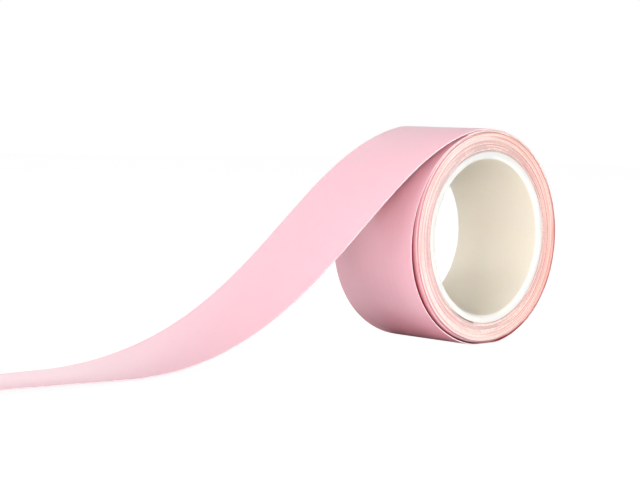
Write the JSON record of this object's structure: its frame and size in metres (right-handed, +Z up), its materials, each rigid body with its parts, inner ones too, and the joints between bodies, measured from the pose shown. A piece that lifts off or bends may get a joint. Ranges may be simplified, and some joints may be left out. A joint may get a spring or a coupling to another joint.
{
  "type": "adhesive tape roll",
  "caption": "Roll of plain adhesive tape on a moulded plastic core, its last turn loosened and its free end drawn off the top and lying flat.",
  "frame": {"origin": "on the table under the roll's axis, in the middle of the wound tape's width, on the flat where the loosened turn rests", "axes": "+Z up, +Y along the roll's axis away from the end face that is seen first, -X the way the free end is drawn off"},
  "size_m": [0.1762, 0.0261, 0.0528],
  "materials": {
    "core_plastic": "smooth moulded ivory plastic with a soft sheen",
    "tape": "pale pink satin film, its cut edges lighter than its face"
  },
  "bodies": {
    "loose_turn": {"outer_turn": "tape"},
    "roll": {"core": "core_plastic", "wound_tape": "tape"},
    "tail": {"free_tail": "tape"}
  },
  "joints": [
    {"name": "roll_turn", "type": "hinge", "parent": "loose_turn", "child": "roll", "pos_m": [0, 0, 0.02603], "axis": [0, 1, 0], "continuous": true},
    {"name": "tail_lift", "type": "hinge", "parent": "loose_turn", "child": "tail", "pos_m": [-0.00493, 0.0006, 0.05244], "axis": [0, 1, 0], "range_deg": [0, 75]}
  ]
}
